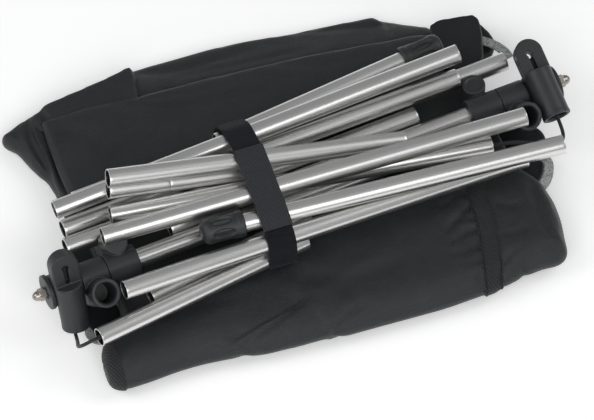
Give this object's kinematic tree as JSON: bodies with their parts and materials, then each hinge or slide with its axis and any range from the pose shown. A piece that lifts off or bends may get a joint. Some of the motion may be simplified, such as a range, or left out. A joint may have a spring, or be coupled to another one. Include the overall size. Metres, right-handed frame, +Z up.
{
  "type": "folding luggage rack",
  "caption": "Packed folding rack: a strapped bundle of aluminium poles with swivel hubs lying on its folded dark fabric.",
  "frame": {"origin": "centre of the object's box, on the surface that it lies on", "axes": "+X along the bundle of poles, +Y across it away from the strap's loose side, +Z up"},
  "size_m": [0.497, 0.31, 0.1094],
  "materials": {
    "aluminium": "satin",
    "steel": "bright plated",
    "nylon": "moulded satin",
    "rubber": "moulded matt",
    "polyester": "woven coated polyester",
    "webbing": "woven webbing",
    "edge_mesh": "spacer mesh",
    "shock_cord": "braided"
  },
  "bodies": {
    "packed_bundle": {"back_pole_low": "aluminium", "back_pole_rear": "aluminium", "under_pole": "aluminium", "back_pole_middle": "aluminium", "foot_pole_back": "aluminium", "back_pole_top": "aluminium", "cross_pole_upper": "aluminium", "joint_pole_long": "aluminium", "joint_ferrule": "aluminium", "cross_pole_lower": "aluminium", "top_pole": "aluminium", "foot_pole_front": "aluminium", "front_pole_upper": "aluminium", "front_pole_inner": "aluminium", "front_pole_lower": "aluminium", "crossbar_left": "aluminium", "crossbar_right": "aluminium", "dome_nut_left": "steel", "axle_bolt_left": "steel", "cap_washer_left": "nylon", "swivel_washer_left": "nylon", "hub_body_left": "nylon", "shock_cord_left": "shock_cord", "dome_nut_right": "steel", "axle_bolt_right": "steel", "cap_washer_right": "nylon", "swivel_washer_right": "nylon", "hub_body_right": "nylon", "shock_cord_right": "shock_cord", "rubber_foot_back": "rubber", "rubber_foot_front": "rubber", "shock_cord_core": "shock_cord", "strap_band": "webbing", "fabric_lower_fold": "polyester", "fabric_upper_fold": "polyester", "corner_pocket": "polyester", "webbing_band": "webbing", "webbing_corner": "webbing", "mesh_edge_back": "edge_mesh", "mesh_edge_front": "edge_mesh"},
    "outer_swivel_left": {"outer_swivel_left": "nylon"},
    "inner_swivel_left": {"inner_swivel_left": "nylon"},
    "outer_swivel_right": {"outer_swivel_right": "nylon"},
    "inner_swivel_right": {"inner_swivel_right": "nylon"},
    "strap_tab": {"strap_tab": "webbing"},
    "joint_pole_short": {"joint_pole_short": "aluminium"}
  },
  "joints": [
    {"name": "outer_swivel_left_turn", "type": "hinge", "parent": "packed_bundle", "child": "outer_swivel_left", "pos_m": [-0.2205, -0.0473, 0.0448], "axis": [-0.9967, -0.0811, 0], "range_deg": [-30, 150], "deforming": ["shock_cord_left"]},
    {"name": "inner_swivel_left_turn", "type": "hinge", "parent": "packed_bundle", "child": "inner_swivel_left", "pos_m": [-0.195, -0.0452, 0.0448], "axis": [-0.9967, -0.0811, 0], "range_deg": [-40, 100]},
    {"name": "outer_swivel_right_turn", "type": "hinge", "parent": "packed_bundle", "child": "outer_swivel_right", "pos_m": [0.2205, 0.0056, 0.0448], "axis": [-0.9967, -0.0811, 0], "range_deg": [-10, 140], "deforming": ["shock_cord_right"]},
    {"name": "inner_swivel_right_turn", "type": "hinge", "parent": "packed_bundle", "child": "inner_swivel_right", "pos_m": [0.195, 0.0035, 0.0448], "axis": [-0.9967, -0.0811, 0], "range_deg": [-40, 100]},
    {"name": "strap_tab_peel", "type": "hinge", "parent": "packed_bundle", "child": "strap_tab", "pos_m": [-0.0415, 0, 0.0945], "axis": [-1, 0, 0], "range_deg": [0, 100]},
    {"name": "joint_pole_pull", "type": "slide", "parent": "packed_bundle", "child": "joint_pole_short", "axis": [-0.9844, 0.0869, 0.1527], "range_m": [0, 0.025]}
  ]
}
